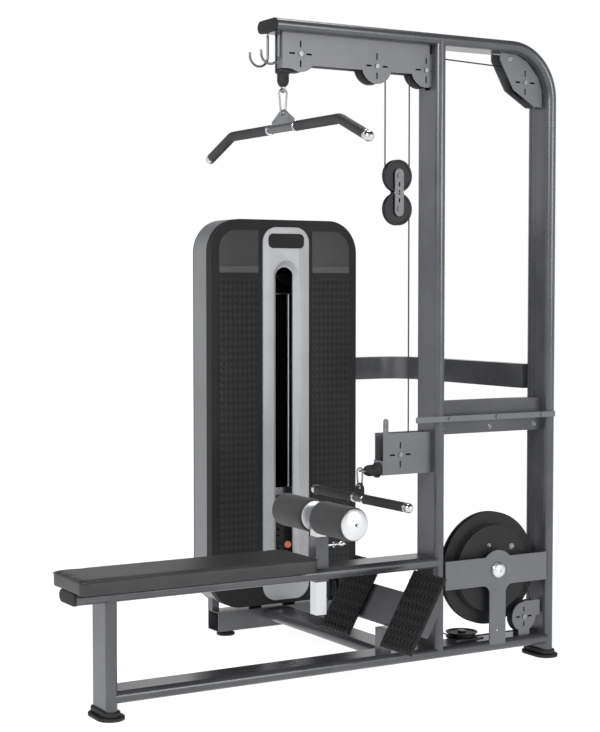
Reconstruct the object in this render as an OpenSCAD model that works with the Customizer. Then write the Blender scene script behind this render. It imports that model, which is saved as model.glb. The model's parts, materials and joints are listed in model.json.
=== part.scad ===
// Lat pulldown and low row machine with an enclosed weight stack.
// X runs along the bench towards the uprights, Y towards the weight tower, Z is up.
// The origin is on the floor, in the middle of the machine's footprint.

/* [Frame] */
// Overall height of the machine
height = 2250; // [2200:10:2300]
// Width of the flat-oval frame tube
tube_w = 133; // [130:1:138]
// Thickness of the flat-oval frame tube
tube_t = 40; // [38:1:42]
// Wall of the frame tubes
tube_wall = 3; // [2:0.5:3.5]
// Distance from the front leg to the middle upright
bay_len = 1261; // [1240:1:1280]
// Distance from the middle upright to the rear upright
rear_bay = 496; // [490:1:505]
// Underside of the base tube above the floor
base_clear = 52; // [48:1:56]
// Height of the seat beam's centre line
seat_z = 396; // [390:1:402]

/* [Seat and foot plates] */
// Length of the seat pad
seat_len = 866; // [840:1:880]
// Width of the seat pad
seat_w = 255; // [240:1:270]
// Thickness of the seat pad
seat_t = 50; // [45:1:54]
// Length of a foot plate
tread_len = 288; // [260:1:300]
// Width of a foot plate
tread_w = 188; // [170:1:200]
// Lean of the foot plates from the floor
tread_tilt = 60; // [55:1:65]

/* [Roller pads] */
// Diameter of a foam roller
roller_d = 115; // [105:1:120]
// Length of a foam roller
roller_len = 205; // [180:1:215]

/* [Bars] */
// Straight length of the lat bar between its bends
bar_straight = 714; // [680:1:740]
// Reach of the lat bar beyond each bend
bar_reach = 165; // [150:1:175]
// Diameter of the lat bar's steel tube
bar_d = 27; // [25:1:28]
// Length of the row handle
row_len = 590; // [560:1:610]

/* [Pulleys] */
// Radius of the cable's centre line round a pulley
wrap_r = 52; // [50:1:54]
// Cable diameter
cable_d = 5; // [4.5:0.1:5]
// Radius of the cable's centre line on the large drum disc
drum_r = 192; // [190:1:194]
// Radius of the cable's centre line on the small drum disc
inner_drum_r = 145; // [142:1:148]

/* [Weight tower] */
// Width of the tower
tower_w = 658; // [640:1:670]
// Top of the tower above the floor
tower_top = 1632; // [1600:1:1650]
// Underside of the tower above the floor
tower_bottom = 118; // [116:1:122]
// Distance from the frame's middle plane to the tower's face
tower_gap = 820; // [810:1:830]
// Plates in the weight stack
plate_count = 14; // [12:1:14]
// Plates that hang on the selector pin
picked = 8; // [6:1:9]
// Height of one weight plate with its gap
plate_pitch = 25; // [24:0.5:26]

/* [Hidden] */
$fn = 48;
// Gap left between two stretches of one cable
hair = 0.05;

// The three columns of the frame and its middle plane
mid_x = 425;
leg_x = mid_x - bay_len;
rear_x = mid_x + rear_bay;
frame_y = -270;
near_face = frame_y - tube_w / 2;
base_z = base_clear + tube_t / 2;
base_top = base_clear + tube_t;
seat_top = seat_z + tube_t / 2;
boom_z = height - tube_t / 2;
boom_under = height - tube_t;
bend_r = 180;
boom_front = mid_x - 662;

// Pulley places in the frame's plane
front_p = [mid_x - 554, 2143];
middle_p = [mid_x - 250, 2123];
rear_p = [mid_x - 45, 2123];
corner_p = [mid_x + 392, 2108];
drum_p = [mid_x + 252, 348];
low_p = [mid_x + 392, 160];
row_p = [mid_x - 149, 783];
block_x = mid_x - 147.5;
block_r = 50.5;
block_top_z = 1754;
block_low_z = 1639;
small_disc_y = frame_y - 24;
guide_c = [mid_x + 160, small_disc_y + wrap_r, 108];
wheel_r = 58;
wheel_w = 20;
axle_r = 6;
fit = 0.05;
groove_r = cable_d / 2 + 0.5;

// The lat bar and the row handle hang on a clip at the end of their cable
lat_x = front_p[0] - wrap_r;
lat_bar_z = 1897;
row_x = mid_x - 299;
eye_r = 11;
row_cable_z = row_p[1] - wrap_r;
row_bar_z = 637;
ball_d = 35;

// Roller post
post_x = mid_x - 467;
post_size = 50;
post_inner = 40;
roller_z = 585;
sleeve_top = 518;

// Tower
tower_x = mid_x - 120;
face_y = frame_y + tower_gap;
panel_d = 42;
shell_d = 105;
shell_y = face_y + panel_d;
back_y = shell_y + shell_d;
back_d = 112;
tower_r = 128;
tower_h = tower_top - tower_bottom;
rail_low = 22;
rail_top = 98;
rail_y = face_y + 40;
rail_d = 87;
stack_y = face_y + 110;
stack_low = 190;
plate_w = 300;
plate_d = 104;
plate_t = plate_pitch - 1;
rod_gap = 78;
riser_x = guide_c[0] - wrap_r;
top_wheel_r = (riser_x - tower_x) / 2;
top_wheel_z = 1490;
pin_z = stack_low + (plate_count - picked) * plate_pitch + plate_t / 2;

beam_half = 280;
fillet = 30;
post_wide = 30;
post_deep = 36;
shelf_z = 1340;
gantry_top = 1520;
trim_half = 104;
trim_top = 1603;
trim_low = 133;
slot_half = 40;
slot_low = 215;
hook_r = 34;
hook_z = 2138;
slot_top = 1447;
link_z = 1037;
link_h = 90;
link_t = 45;

// Middle of the foot plates' back face
tread_mid = [mid_x - 213, 264];

steel = "#6c6e72";
dark = "#2c2d2f";
chrome = "#c9cbce";
black = "#1b1b1c";

// Outline of a flat-oval tube, wide along X
module oval(w, t) {
    square([w - t, t], center = true);
    for (s = [-1, 1]) translate([s * (w - t) / 2, 0]) circle(d = t);
}

module oval_ring(w, t, wall) {
    difference() {
        oval(w, t);
        oval(w - 2 * wall, t - 2 * wall);
    }
}

// A flat-oval tube standing up, wide side facing X
module post_tube(x, z0, z1) {
    translate([x, frame_y, z0]) rotate(90)
        linear_extrude(z1 - z0) oval_ring(tube_w, tube_t, tube_wall);
}

// A flat-oval tube lying along X, wide side facing up
module rail_tube(x0, x1, z) {
    translate([x0, frame_y, z]) rotate([90, 0, 90])
        linear_extrude(x1 - x0) oval_ring(tube_w, tube_t, tube_wall);
}

// Outline used to cut a tube's end to the side of the tube that it meets
module cope() {
    intersection() {
        oval(tube_w + 0.6, tube_t + 0.6);
        square([tube_w + 2, tube_t], center = true);
    }
}

module post_cope(x) {
    translate([x, frame_y, -10]) rotate(90) linear_extrude(height + 20) cope();
}

module rail_cope(z) {
    translate([leg_x - 300, frame_y, z]) rotate([90, 0, 90]) linear_extrude(bay_len + 1000) cope();
}

// Stretch of cable between two points in a plane that faces Y, a hair short at both ends
module run(a, b, y) {
    ang = atan2(b[0] - a[0], b[1] - a[1]);
    translate([a[0], y, a[1]]) rotate([0, ang, 0]) translate([0, 0, hair])
        cylinder(h = norm(b - a) - 2 * hair, d = cable_d, $fn = 24);
}

// Cable bent round a pulley from one angle through a sweep, in a plane that faces Y
module wrap(c, y, r, from, sweep) {
    translate([c[0], y, c[1]]) rotate([90, 0, 0]) rotate(from)
        rotate_extrude(angle = sweep, $fn = 96) translate([r, 0]) circle(d = cable_d, $fn = 24);
}

function on_wheel(c, r, a) = [c[0] + r * cos(a), c[1] + r * sin(a)];
// Angle of the point where a straight run leaves wheel a for wheel b on the same side
function tangent(a, ra, b, rb) =
    atan2(b[1] - a[1], b[0] - a[0]) + acos((ra - rb) / norm(b - a));

// A grooved wheel with its bore along Z
module wheel(r, w, groove_at, bore) {
    rotate_extrude($fn = 96) difference() {
        polygon([[bore, -w / 2], [bore + 9, -w / 2], [bore + 9, -w / 2 + 3], [r - 9, -w / 2 + 3],
            [r - 7, -w / 2], [r, -w / 2], [r, w / 2], [r - 7, w / 2], [r - 9, w / 2 - 3],
            [bore + 9, w / 2 - 3], [bore + 9, w / 2], [bore, w / 2]]);
        translate([groove_at, 0]) circle(r = groove_r, $fn = 24);
        polygon([[groove_at, -groove_r], [r + 1, -w / 2 + 2], [r + 1, w / 2 - 2],
            [groove_at, groove_r]]);
    }
}

module wheel_y(c, y, r = wrap_r) {
    translate([c[0], y, c[1]]) rotate([90, 0, 0]) wheel(r + 6, wheel_w, r, axle_r + fit);
}

// A bolt used as a pulley's axle, along Y, with a head on its near end
module bolt_axle(c, y, half, head = 8) {
    translate([c[0], y, c[1]]) rotate([90, 0, 0]) {
        cylinder(h = 2 * half, r = axle_r, center = true);
        translate([0, 0, half]) cylinder(h = 4, r = head);
        translate([0, 0, -half - 4]) cylinder(h = 4, r = head);
    }
}

// Four small slots in a cross round an axle, as an outline
module cross_slots(c) {
    for (a = [0:90:270]) translate(c) rotate(a) translate([33, 0]) square([22, 6], center = true);
}

// A flat plate that faces Y, from an outline drawn in X and Z
module plate_y(y, t) {
    translate([0, y + t / 2, 0]) rotate([90, 0, 0]) linear_extrude(t) children();
}

// ---------------------------------------------------------------- frame tubes
module base_tube() {
    color(steel) difference() {
        rail_tube(leg_x, rear_x, base_z);
        post_cope(leg_x);
        post_cope(rear_x);
    }
}

module front_leg() {
    color(steel) difference() {
        post_tube(leg_x, 22, seat_z);
        rail_cope(seat_z);
    }
}

module mid_upright() {
    color(steel) difference() {
        post_tube(mid_x, base_z, boom_z);
        translate([mid_x, frame_y, rear_p[1]]) cube([60, 28, 130], center = true);
        rail_cope(base_z);
        rail_cope(boom_z);
    }
}

module rear_upright() {
    color(steel) post_tube(rear_x, 22, boom_z - bend_r);
}

module boom() {
    color(steel) {
        rail_tube(boom_front, rear_x - bend_r, boom_z);
        translate([rear_x - bend_r, frame_y, boom_z - bend_r]) rotate([90, 0, 0])
            rotate_extrude(angle = 90, $fn = 96)
                translate([bend_r, 0]) rotate(90) oval_ring(tube_w, tube_t, tube_wall);
    }
}

// Plastic plugs in the open ends of the boom and the seat beam
module end_cap(x, z) {
    translate([x, frame_y, z]) rotate([90, 0, 90]) {
        translate([0, 0, -7]) linear_extrude(7) oval(tube_w, tube_t);
        linear_extrude(20) oval(tube_w - 2 * tube_wall - 0.6, tube_t - 2 * tube_wall - 0.6);
    }
}

module end_caps() {
    color(dark) {
        end_cap(boom_front, boom_z);
        end_cap(leg_x - 122, seat_z);
    }
}

module seat_beam() {
    color(steel) difference() {
        rail_tube(leg_x - 122, mid_x, seat_z);
        post_cope(mid_x);
        translate([post_x, frame_y, seat_z]) cube([post_size + 0.6, post_size + 0.6, 60], center = true);
    }
}

module cross_tube() {
    color(steel) translate([mid_x, frame_y, 904]) difference() {
        rotate([90, 0, 90]) linear_extrude(rear_bay) difference() {
            square([50, 118], center = true);
            square([44, 112], center = true);
        }
        translate([0, -frame_y, -904]) translate([-mid_x, 0, 0]) post_cope(mid_x);
        translate([0, -frame_y, -904]) translate([-mid_x, 0, 0]) post_cope(rear_x);
        translate([drum_p[0] + drum_r - mid_x, 0, -80]) cylinder(r = 8, h = 160);
    }
}

// Flat strap bolted across the near face of both uprights
module tie_strap() {
    strap_z = 894;
    color(steel) {
        difference() {
            translate([mid_x - 111, near_face - 5.1, strap_z]) cube([618, 5, 20]);
            for (x = [33, 242, 446])
                translate([mid_x + x, near_face, strap_z + 10]) rotate([90, 0, 0])
                    cylinder(r = 5, h = 30, center = true);
        }
        for (x = [33, 242, 446])
            translate([mid_x + x, near_face - 5.1, strap_z + 10]) rotate([90, 0, 0]) {
                cylinder(r = 8, h = 5);
                translate([0, 0, -5]) cylinder(r = 5, h = 5);
            }
    }
}

// Bent tube from the tower's frame to the rear upright
module link_tube() {
    bend = 130;
    turn_y = back_y - 75;
    turn_x = rear_x - 10;
    color(steel) translate([0, 0, link_z]) {
        translate([turn_x, (frame_y + tube_w / 2 + turn_y - bend) / 2, 0])
            cube([link_t, turn_y - bend - frame_y - tube_w / 2, link_h], center = true);
        translate([turn_x - bend, turn_y - bend, -link_h / 2]) rotate_extrude(angle = 90, $fn = 96)
            translate([bend - link_t / 2, 0]) square([link_t, link_h]);
        translate([(tower_x + beam_half + turn_x - bend) / 2, turn_y, 0])
            cube([turn_x - bend - tower_x - beam_half, link_t, link_h], center = true);
    }
}

module floor_rail() {
    rail_x = mid_x - 130;
    start = frame_y + tube_w / 2 - tube_t / 2;
    color(steel) difference() {
        translate([rail_x, start, base_z]) rotate([-90, 0, 0])
            linear_extrude(rail_y - start) oval_ring(tube_w, tube_t, tube_wall);
        rail_cope(base_z);
    }
}

module tower_base() {
    color(steel) difference() {
        translate([tower_x - beam_half, rail_y, rail_low])
            cube([2 * beam_half, rail_d, rail_top - rail_low]);
        translate([tower_x - beam_half - 1, rail_y + tube_wall, rail_low + tube_wall])
            cube([2 * beam_half - 60, rail_d - 2 * tube_wall, rail_top - rail_low - 2 * tube_wall]);
    }
}

// Rubber feet under the frame's ends and under the tower
module feet() {
    color(black) {
        for (x = [leg_x + 4, rear_x + 4]) translate([x, frame_y, 0]) rotate(90)
            linear_extrude(22) oval(tube_w + 24, 92);
        for (s = [-1, 1]) translate([tower_x + s * 225, rail_y + rail_d / 2, 0])
            cylinder(r = 36, h = rail_low);
    }
}

// ---------------------------------------------------------------- brackets
module boom_plate_outline() {
    difference() {
        union() {
            translate([mid_x - 621, 2107]) square([591, boom_under - 2107]);
            translate([mid_x - 621, 2092]) square([40, 47]);
            for (c = [front_p, middle_p, rear_p]) translate(c) circle(r = 60);
        }
        for (c = [front_p, middle_p, rear_p]) {
            translate(c) circle(r = axle_r);
            cross_slots(c);
        }
        translate([mid_x - 700, boom_under]) square([800, 100]);
        translate([mid_x - 20, 2000]) square([100, 300]);
    }
}

module boom_plates() {
    color(steel) {
        for (s = [-1, 1]) plate_y(frame_y + s * 26, 4) boom_plate_outline();
        translate([mid_x - 624, frame_y - 28, 2092]) cube([4, 35, boom_under - 2092]);
    }
}

module corner_plates() {
    color(steel) for (s = [-1, 1]) plate_y(frame_y + s * 26, 4) difference() {
        polygon([[mid_x + 279, 2183], [mid_x + 340, 2080], [mid_x + 437, 2023], [mid_x + 470, 2023],
            [mid_x + 470, 2083], [mid_x + 452, 2130], [mid_x + 400, 2184], [mid_x + 350, 2206],
            [mid_x + 279, 2209]]);
        translate(corner_p) circle(r = axle_r);
        cross_slots(corner_p);
    }
}

// Box bracket on the middle upright that holds the row pulley
module row_bracket() {
    left = mid_x - 219;
    color(steel) difference() {
        union() {
            for (s = [-1, 1]) plate_y(frame_y + s * 26, 4) difference() {
                union() {
                    translate([left, 714]) square([199, 145]);
                    if (s < 0) translate([left, 858]) square([20, 43]);
                    if (s < 0) translate([left + 10, 901]) circle(r = 10);
                }
                for (z = [872, 898]) translate([left + 10, z]) circle(r = 2.5);
                cross_slots(row_p);
            }
            translate([left - 4, frame_y - 28, 714]) cube([5, 56, 50]);
        }
        translate([row_p[0], frame_y, row_p[1]]) rotate([90, 0, 0]) cylinder(r = axle_r, h = 80, center = true);
        translate([left - 10, frame_y, row_cable_z]) rotate([0, 90, 0]) cylinder(r = 9, h = 20);
    }
}

// Two hooks under the boom's end that hold the bar when it is put away
module bar_hooks() {
    color(chrome) for (y = [-14, 62]) translate([mid_x - 629, frame_y + y, 0]) {
        translate([0, 0, hook_z]) cylinder(h = boom_under - hook_z, r = 4);
        translate([-hook_r, 0, hook_z]) rotate([90, 0, 0]) rotate([0, 0, 180])
            rotate_extrude(angle = 180) translate([hook_r, 0]) circle(r = 4);
        translate([-2 * hook_r, 0, hook_z]) cylinder(h = 10, r = 4);
    }
}

// Plates on both sides of the drum that carry its axle
module drum_bracket() {
    c = drum_p;
    left = mid_x + tube_t / 2;
    color(steel) difference() {
        for (y = [near_face + 3, frame_y + tube_w / 2 - 3]) plate_y(y, 5) difference() {
            union() {
                translate([left, 294]) square([rear_bay - tube_t, 102]);
                translate(c) circle(r = 72);
                if (y < frame_y) translate([c[0] - 36, base_z]) square([72, 294 - base_z]);
                if (y < frame_y) for (s = [-1, 1]) translate([c[0] + s * 36, 294]) difference() {
                    translate([-fillet, -fillet]) square(2 * fillet);
                    translate([s * fillet, -fillet]) circle(r = fillet);
                }
            }
            translate(c) circle(r = 12);
            translate([c[0], 128]) circle(r = 4);
        }
        rail_cope(base_z);
    }
}

// Housing plates of the low pulley and the mount of the flat guide pulley
module base_brackets() {
    color(steel) {
        for (s = [-1, 1]) plate_y(small_disc_y + s * 15, 4) difference() {
            union() {
                translate(low_p) circle(r = 54);
                translate(low_p) square([74, 56]);
                translate([low_p[0] - 24, base_top]) square([50, 40]);
            }
            translate(low_p) circle(r = axle_r);
            if (s > 0) translate(drum_p) circle(r = drum_r + 20, $fn = 96);
            for (a = [0:90:270]) translate(low_p) rotate(a) translate([27, 0]) square([18, 6], center = true);
        }
        translate([guide_c[0] - 50, guide_c[1] - 40, base_top]) cube([120, 60, 4]);
        translate([guide_c[0], guide_c[1], base_top + 4])
            cylinder(r = axle_r, h = guide_c[2] + wheel_w / 2 + 4 - base_top - 4);
        translate([guide_c[0], guide_c[1], guide_c[2] + wheel_w / 2 + 1]) cylinder(r = 14, h = 4);
    }
}

module post_sleeve() {
    low = seat_z - tube_t / 2 - 12;
    color(steel) difference() {
        translate([post_x, frame_y, (low + sleeve_top) / 2])
            cube([post_size, post_size, sleeve_top - low], center = true);
        translate([post_x, frame_y, 500])
            cube([post_inner + 0.8, post_inner + 0.8, 500], center = true);
        translate([post_x, frame_y, 484]) rotate([0, 90, 0]) cylinder(r = 6.3, h = 60);
    }
}

// Box beam behind the foot plates, and the stand that holds it over the base tube
module tread_carrier() {
    color(steel) {
        translate([tread_mid[0], frame_y, tread_mid[1]]) rotate([0, 90 - tread_tilt, 0])
            translate([14, -260, -62]) cube([44, 520, 124]);
        translate([tread_mid[0] - 8, frame_y - 20, base_top]) cube([40, 40, 84]);
    }
}

module tread_plates() {
    color(dark) for (s = [-1, 1])
        translate([tread_mid[0], frame_y + s * (tread_w / 2 + 100), tread_mid[1]])
            rotate([0, 90 - tread_tilt, 0]) translate([0, -tread_w / 2, -tread_len / 2])
                cube([14, tread_w, tread_len]);
}

module seat_pad() {
    r = 25;
    color(black) translate([mid_x - 1396 + r, frame_y - seat_w / 2 + r, seat_top])
        linear_extrude(seat_t) {
            translate([0, -r]) square([seat_len - 2 * r, seat_w]);
            translate([-r, 0]) square([seat_len, seat_w - 2 * r]);
            for (x = [0, seat_len - 2 * r], y = [0, seat_w - 2 * r]) translate([x, y]) circle(r = r);
        }
}

// ---------------------------------------------------------------- tower
// Rounded rectangle round the tower's middle, in X and Z
module round_rect(x0, x1, z0, z1, r) {
    translate([x0 + r, z0]) square([x1 - x0 - 2 * r, z1 - z0]);
    translate([x0, z0 + r]) square([x1 - x0, z1 - z0 - 2 * r]);
    for (x = [x0 + r, x1 - r], z = [z0 + r, z1 - r]) translate([x, z]) circle(r = r, $fn = 96);
}

module tower_outline(inset) {
    round_rect(tower_x - tower_w / 2 + inset, tower_x + tower_w / 2 - inset,
        tower_bottom + inset, tower_top - inset, tower_r - inset);
}

// Opening in the tower's floor for the low pulley and its cable
module pulley_gap() {
    translate([riser_x - 20, face_y - 10, 90]) cube([40, 160, 140]);
}

// Opening in the shell's floor for the posts, the rods and the stack's cushions
module floor_gap() {
    translate([tower_x - beam_half - 4, face_y + 80, 90]) cube([2 * beam_half + 8, 60, 80]);
}

module tower_shell() {
    color("#808287") difference() {
        plate_y(shell_y + shell_d / 2, shell_d) difference() {
            tower_outline(0);
            tower_outline(5);
        }
        pulley_gap();
        floor_gap();
        translate([tower_x + tower_w / 2 - 20, back_y - 110, link_z - link_h / 2 - 1])
            cube([40, 111, link_h + 2]);
    }
}

module trim_outline() {
    round_rect(tower_x - trim_half, tower_x + trim_half, trim_low, trim_top, 60);
}

module front_panel() {
    color(dark) difference() {
        union() {
            plate_y(face_y + 4, 8) tower_outline(0);
            plate_y(face_y + (8 + panel_d) / 2, panel_d - 8) difference() {
                tower_outline(0);
                tower_outline(5);
            }
        }
        plate_y(face_y, 60) trim_hole();
        pulley_gap();
    }
}

module trim_hole() {
    round_rect(tower_x - trim_half - 0.5, tower_x + trim_half + 0.5, trim_low - 0.5, trim_top + 0.5, 60.5);
}

// Silver centre trim with the slot for the selector pin
module tower_trim() {
    color(chrome) difference() {
        plate_y(face_y + 6, 24) trim_outline();
        plate_y(face_y + 6, 40)
            round_rect(tower_x - slot_half, tower_x + slot_half, slot_low, slot_top, slot_half - 1);
        plate_y(face_y - 4, 28)
            round_rect(tower_x - 62, tower_x + 62, slot_low - 26, slot_top + 26, 60);
    }
}

// Rear cover: a flange that closes the shell, with a narrower hollow hump behind it
module tower_back() {
    inset = 66;
    flange = 6;
    color(dark) difference() {
        union() {
            plate_y(back_y + flange / 2, flange) tower_outline(0);
            plate_y(back_y + back_d / 2, back_d) tower_outline(inset);
        }
        plate_y(back_y + back_d / 2 - 4, back_d) tower_outline(inset + 4);
    }
}

module guide_rods() {
    color(chrome) for (s = [-1, 1]) translate([tower_x + s * rod_gap, stack_y, rail_top])
        cylinder(r = 11, h = shelf_z - rail_top);
}

// Posts on the tower's base, the shelf that holds the guide rods and the top pulley's bars
module tower_gantry() {
    bar_t = 4;
    shelf_half = beam_half - post_wide - hair;
    color(steel) {
        for (s = [-1, 1])
            translate([tower_x + s * (beam_half - post_wide / 2), stack_y, (rail_top + gantry_top) / 2])
                cube([post_wide, post_deep, gantry_top - rail_top], center = true);
        difference() {
            translate([tower_x - shelf_half, stack_y - 25, shelf_z]) cube([2 * shelf_half, 50, 6]);
            for (x = [tower_x, riser_x]) translate([x, stack_y, shelf_z - 10]) cylinder(r = 8, h = 30);
        }
        for (s = [-1, 1]) difference() {
            translate([tower_x, stack_y + s * ((post_deep + bar_t) / 2 + hair), gantry_top - 30])
                cube([2 * beam_half - 4, bar_t, 58], center = true);
            translate([tower_x + top_wheel_r, stack_y, top_wheel_z]) rotate([90, 0, 0])
                cylinder(r = axle_r, h = 100, center = true);
        }
        for (s = [-1, 1]) difference() {
            translate([riser_x + s * 16 - 2, stack_y - wrap_r - 30, rail_top]) cube([4, 60, 84]);
            translate([riser_x, stack_y - wrap_r, 160]) rotate([0, 90, 0])
                cylinder(r = axle_r, h = 60, center = true);
        }
    }
}

// Bolts that the frame's pulleys turn on, and the drum's axle
module pulley_axles() {
    color(chrome) {
        for (c = [front_p, middle_p, rear_p, corner_p, row_p]) bolt_axle(c, frame_y, 28);
        bolt_axle(low_p, small_disc_y, 17, 8);
        bolt_axle([tower_x + top_wheel_r, top_wheel_z], stack_y, 22);
        translate([drum_p[0], frame_y, drum_p[1]]) rotate([90, 0, 0]) {
            cylinder(h = tube_w, r = 12, center = true);
            translate([0, 0, tube_w / 2]) cylinder(h = 12, r1 = 20, r2 = 12);
        }
        translate([riser_x, stack_y - wrap_r, 160]) rotate([0, 90, 0])
            cylinder(h = 40, r = axle_r, center = true);
    }
}

// ---------------------------------------------------------------- weight stack
module weight_plate(z, holes_r) {
    difference() {
        translate([tower_x - plate_w / 2, stack_y - plate_d / 2, z]) cube([plate_w, plate_d, plate_t]);
        for (s = [-1, 1]) translate([tower_x + s * rod_gap, stack_y, z - 1]) cylinder(r = 13, h = plate_t + 2);
        translate([tower_x, stack_y, z - 1]) cylinder(r = holes_r, h = plate_t + 2);
        translate([tower_x, stack_y, z + plate_t / 2]) rotate([90, 0, 0]) cylinder(r = 5.5, h = plate_d);
    }
}

module resting_plates() {
    color(black) {
        for (i = [0:plate_count - picked - 1]) weight_plate(stack_low + i * plate_pitch, 16);
        for (s = [-1, 1]) translate([tower_x + s * rod_gap, stack_y, rail_top]) difference() {
            cylinder(r = 26, h = stack_low - rail_top);
            translate([0, 0, -1]) cylinder(r = 11.5, h = 200);
        }
    }
}

module lifted_plates() {
    color(black) for (i = [plate_count - picked:plate_count - 1])
        weight_plate(stack_low + i * plate_pitch + 0.4, 15.4);
}

// Head plate and the drilled stem that hangs through the whole stack
module selector_stem() {
    head = stack_low + plate_count * plate_pitch + 1;
    color(chrome) difference() {
        union() {
            translate([tower_x - plate_w / 2, stack_y - plate_d / 2, head]) cube([plate_w, plate_d, 30]);
            translate([tower_x, stack_y, stack_low + 4]) cylinder(r = 15, h = head - stack_low);
            translate([tower_x, stack_y, head + 30]) cylinder(r = 14, h = 40);
        }
        for (s = [-1, 1]) translate([tower_x + s * rod_gap, stack_y, head - 1]) cylinder(r = 13, h = 40);
        translate([tower_x, stack_y, pin_z]) rotate([90, 0, 0]) cylinder(r = 5.5, h = 40, center = true);
    }
}

module selector_pin() {
    knob_y = face_y - 24;
    color("#b4573a") translate([tower_x, 0, pin_z]) rotate([-90, 0, 0]) {
        translate([0, 0, knob_y + 22]) cylinder(r = 5, h = stack_y - knob_y - 10);
        translate([0, 0, knob_y]) cylinder(r = 14, h = 22);
    }
}

// ---------------------------------------------------------------- pulleys
module front_pulley() { color(black) wheel_y(front_p, frame_y); }
module middle_pulley() { color(black) wheel_y(middle_p, frame_y); }
module rear_pulley() { color(black) wheel_y(rear_p, frame_y); }
module corner_pulley() { color(black) wheel_y(corner_p, frame_y); }
module row_pulley() { color(black) wheel_y(row_p, frame_y); }
module low_pulley() { color(black) wheel_y(low_p, small_disc_y); }
module guide_pulley() {
    color(black) translate(guide_c) wheel(wheel_r, wheel_w, wrap_r, axle_r + fit);
}
module tower_low_pulley() {
    color(black) translate([riser_x, stack_y - wrap_r, 160]) rotate([0, 90, 0])
        wheel(wheel_r, wheel_w, wrap_r, axle_r + fit);
}
module tower_top_pulley() {
    color(black) translate([tower_x + top_wheel_r, stack_y, top_wheel_z]) rotate([90, 0, 0])
        wheel(top_wheel_r + 6, wheel_w, top_wheel_r, axle_r + fit);
}

// One disc of the drum, with a groove in its rim
module disc(r, w) {
    rotate_extrude($fn = 96) difference() {
        translate([12 + fit, -w / 2]) square([r + 13 - 12 - fit, w]);
        translate([r, 0]) circle(r = groove_r, $fn = 24);
        polygon([[r, -groove_r], [r + 14, -w / 2 + 3], [r + 14, w / 2 - 3], [r, groove_r]]);
    }
}

// Stepped drum: the upper cable winds on the large disc, the stack's cable on the small one
module drum() {
    color("#3d3e3c") translate([drum_p[0], frame_y, drum_p[1]]) rotate([90, 0, 0]) {
        disc(drum_r, 24);
        translate([0, 0, 24]) disc(inner_drum_r, 24);
    }
}

// ---------------------------------------------------------------- floating block
module block_frame() {
    color(steel) {
        for (s = [-1, 1]) plate_y(frame_y + s * 14, 4) difference() {
            union() {
                translate([block_x - 18, block_low_z - 7]) square([36, block_top_z - block_low_z + 14]);
                for (z = [block_low_z - 7, block_top_z + 7]) translate([block_x, z]) circle(r = 18);
            }
            for (z = [block_top_z, block_low_z]) translate([block_x, z]) circle(r = axle_r);
            for (i = [-1:1]) translate([block_x, (block_top_z + block_low_z) / 2 + i * 28])
                square([6, 15], center = true);
        }
        for (z = [block_top_z, block_low_z]) bolt_axle([block_x, z], frame_y, 16, 9);
    }
}
module block_top_wheel() { color(black) wheel_y([block_x, block_top_z], frame_y, block_r); }
module block_low_wheel() { color(black) wheel_y([block_x, block_low_z], frame_y, block_r); }

// ---------------------------------------------------------------- bars
// Rubber stop and eye at a cable's end, hanging down from the origin
module cable_stop() {
    rotate_extrude() polygon([[cable_d / 2 + 0.1, 0], [26, 0], [27, -4], [26, -12], [20, -16],
        [20, -44], [16, -52], [10, -56], [cable_d / 2 + 0.1, -56]]);
    translate([0, 0, -64]) rotate([0, 90, 0]) rotate_extrude() translate([eye_r, 0]) circle(r = 3);
}

// Long steel link, from its top bend down
module carabiner(len, r) {
    for (s = [-1, 1]) translate([s * r, 0, -len / 2]) cylinder(r = 3.5, h = len - 2 * r, center = true);
    for (a = [0, 180]) translate([0, 0, -len / 2]) rotate([0, a, 0]) translate([0, 0, len / 2 - r])
        rotate([90, 0, 0]) rotate_extrude(angle = 180) translate([r, 0]) circle(r = 3.5);
}

module lat_clip() {
    color(chrome) translate([lat_x, frame_y, 2090]) {
        cable_stop();
        translate([0, 0, -64.7]) carabiner(83.3, 15);
    }
}

// Lug on a bar's middle, with a hole for the clip, standing on the bar's centre line
module bar_lug(h, half) {
    rotate([90, 0, 90]) translate([0, 0, -2.5]) linear_extrude(5) difference() {
        polygon([[-half, 0], [half, 0], [half, h / 2], [13, h], [-13, h], [-half, h / 2]]);
        translate([0, h - 14]) circle(r = 8);
    }
}

// A straight end of a bar along Z, with a ball on it
module bar_end(len) {
    rotate_extrude($fn = 64) intersection() {
        union() {
            square([bar_d / 2, len]);
            translate([0, len]) circle(d = ball_d, $fn = 64);
        }
        square([ball_d, len + ball_d]);
    }
}

module lat_bar() {
    drop = 68;
    bend_at = 60;
    ang = atan2(drop, bar_reach);
    set_back = bend_at * tan(ang / 2);
    half = bar_straight / 2 - set_back;
    len = norm([bar_reach, drop]) - set_back;
    color(dark) translate([lat_x, frame_y, lat_bar_z]) {
        rotate([90, 0, 0]) cylinder(d = bar_d, h = 2 * half - 2 * hair, center = true);
        for (s = [0, 1]) mirror([0, s, 0]) translate([0, half, 0]) {
            translate([0, 0, -bend_at]) rotate([90, 0, 90]) rotate(90 - ang)
                rotate_extrude(angle = ang, $fn = 96) translate([bend_at, 0]) circle(d = bar_d);
            translate([0, set_back * (1 + cos(ang)), -set_back * sin(ang)]) rotate([-90 - ang, 0, 0])
                translate([0, 0, hair]) bar_end(len - hair);
        }
        bar_lug(59, 70);
    }
}

module row_clip() {
    color(chrome) {
        translate([mid_x - 224, frame_y, row_cable_z]) rotate([0, 90, 0]) cable_stop();
        translate([row_x, frame_y, row_cable_z + 11]) carabiner(64.5, 11.5);
    }
}

module row_handle() {
    color(dark) translate([row_x, frame_y, row_bar_z]) {
        rotate([90, 0, 0]) cylinder(d = bar_d, h = row_len - 80, center = true);
        for (s = [-1, 1]) translate([0, s * (row_len / 2 - 40 + hair), 0]) rotate([-90 * s, 0, 0])
            bar_end(40 - hair);
        bar_lug(54, 25);
    }
}

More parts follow.
